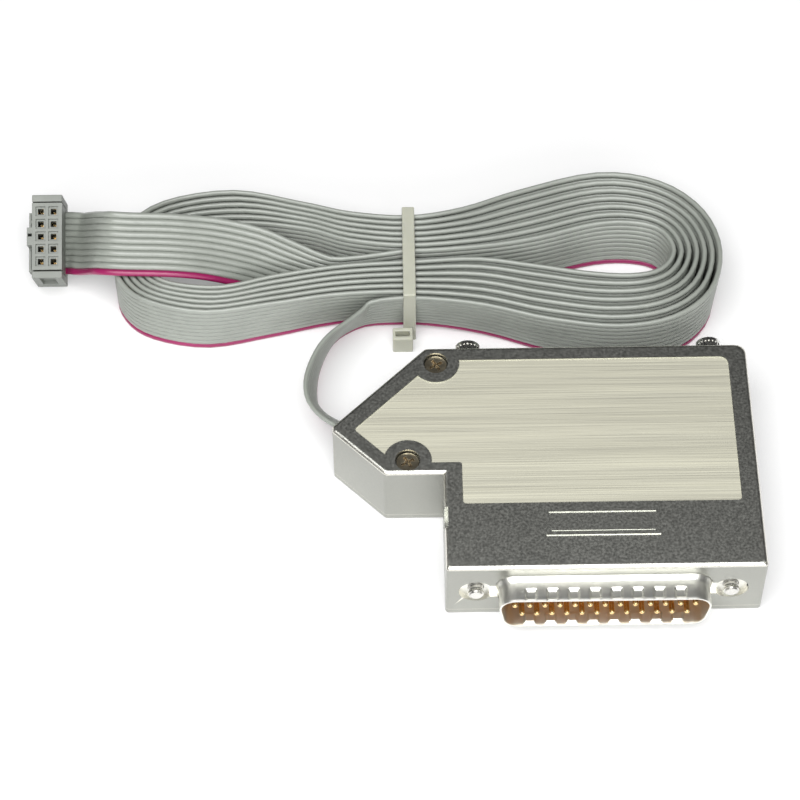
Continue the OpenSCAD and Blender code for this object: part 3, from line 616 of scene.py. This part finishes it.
def plug_shell(grid):
    """Deep-drawn sheet: flared at the flange, rounded at the rim, pressed in where it grips its mate."""
    rings = []
    for y, out in FLARE + STRAIGHT + RIM + INSIDE:
        ring = []
        for x, z in plug_outline(SHELL_SHEET + out):
            pressed = dimple_at(x, y, z) if y > SHELL_RIM_Y + SHELL_STEP else 0
            ring.append(at(x, y, PLUG_Z + z - math.copysign(pressed, z)))
        rings.append(ring)
    skin(grid, rings)


def plug_flange(grid):
    """Flange of the shell: a plate with two screw holes and the D-shaped opening."""
    def loop(points):
        verts = [grid.verts.new(at(x, FLANGE_Y, PLUG_Z + z)) for x, z in points]
        return [grid.edges.new((verts[i - 1], verts[i])) for i in range(len(verts))]

    def ring(x, z, radius, start, turn, count):
        return [
            (x + radius * math.cos(a), z + radius * math.sin(a))
            for a in (start + turn * k / count for k in range(count + 1))
        ]

    corner_x, corner_z = FLANGE_W / 2 - FLANGE_CORNER, FLANGE_H / 2 - FLANGE_CORNER
    quarter = math.pi / 2
    outline = []
    for k, (sx, sz) in enumerate(((1, 1), (-1, 1), (-1, -1), (1, -1))):
        centre = sx * corner_x, sz * corner_z
        outline += ring(*centre, FLANGE_CORNER, k * quarter, quarter, FLANGE_CORNER_STEPS)
    edges = loop(outline) + loop(plug_outline(SHELL_SHEET + FLANGE_HOLE_GAP, FLANGE_HOLE_STEP))
    for side in (-1, 1):
        edges += loop(ring(side * SCREW_X, 0, EYELET_R, 0, 2 * math.pi, EYELET_SIDES)[:-1])
    filled = bmesh.ops.triangle_fill(grid, edges=edges, use_beauty=True)
    faces = [f for f in filled["geom"] if isinstance(f, bmesh.types.BMFace)]
    solid = bmesh.ops.extrude_face_region(grid, geom=faces)
    moved = [v for v in solid["geom"] if isinstance(v, bmesh.types.BMVert)]
    bmesh.ops.translate(grid, verts=moved, vec=Vector((0, FLANGE_T * MM, 0)))


def whole_plug_shell(grid):
    plug_flange(grid)
    plug_shell(grid)


shell = new_piece("plug_front_shell_finished", whole_plug_shell, PLUG)
shell.data.set_sharp_from_angle(angle=math.radians(40))
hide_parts("plug_front_shell")


# ---------------------------------------------------------------- studio

DARK_PITCH = math.radians(55)
DARK_WAY = (0, math.cos(DARK_PITCH), math.sin(DARK_PITCH))     # a dark patch of sky, behind and above
DARK_INNER = math.radians(20)   # darkest within this angle of its middle
DARK_OUTER = math.radians(52)   # and as bright as the rest beyond this one
SKY = 0.85
SKY_DARK = 0.07
FLOOR_HALF = 3
FLOOR_GREY = 0.68
FLOOR_GLOW = 0.26


def make_floor():
    mesh = bpy.data.meshes.new("floor")
    grid = bmesh.new()
    bmesh.ops.create_grid(grid, x_segments=1, y_segments=1, size=FLOOR_HALF)
    grid.to_mesh(mesh)
    grid.free()
    m = Nodes("floor_white")
    m.set(Base_Color=(FLOOR_GREY, FLOOR_GREY, FLOOR_GREY), Roughness=0.9)
    m.shader.inputs["Specular IOR Level"].default_value = 0.1
    m.shader.inputs["Emission Color"].default_value = (1, 1, 1, 1)
    m.shader.inputs["Emission Strength"].default_value = FLOOR_GLOW
    mesh.materials.append(m.material)
    floor = bpy.data.objects.new("floor", mesh)
    bpy.context.collection.objects.link(floor)


def area_light(name, place, target, size, power):
    data = bpy.data.lights.new(name, "AREA")
    data.energy = power
    data.shape = "RECTANGLE"
    data.size, data.size_y = size
    light = bpy.data.objects.new(name, data)
    light.location = place
    light.rotation_euler = (Vector(target) - Vector(place)).to_track_quat("-Z", "Y").to_euler()
    bpy.context.collection.objects.link(light)


def make_world():
    """A white room with one soft dark patch, for the hood's top to mirror."""
    world = bpy.data.worlds.new("studio")
    bpy.context.scene.world = world
    world.use_nodes = True
    tree = world.node_tree
    way = tree.nodes.new("ShaderNodeTexCoord").outputs["Generated"]
    toward = tree.nodes.new("ShaderNodeVectorMath")
    toward.operation = "DOT_PRODUCT"
    toward.inputs[1].default_value = DARK_WAY
    tree.links.new(way, toward.inputs[0])
    spot = tree.nodes.new("ShaderNodeMapRange")
    spot.interpolation_type = "SMOOTHSTEP"
    spot.inputs["From Min"].default_value = math.cos(DARK_OUTER)
    spot.inputs["From Max"].default_value = math.cos(DARK_INNER)
    spot.inputs["To Min"].default_value = SKY
    spot.inputs["To Max"].default_value = SKY_DARK
    tree.links.new(toward.outputs["Value"], spot.inputs["Value"])
    tree.links.new(spot.outputs["Result"], tree.nodes["Background"].inputs["Strength"])


make_floor()
make_world()
area_light("overhead", place=(-0.12, -0.32, 0.87), target=(-0.02, 0.02, 0), size=(0.9, 0.7), power=12.5)
area_light("front_strip", place=(0.1, -0.8, 0.45), target=(0, 0, 0), size=(1.2, 0.4), power=4.5)
bpy.context.scene.view_settings.view_transform = "Standard"
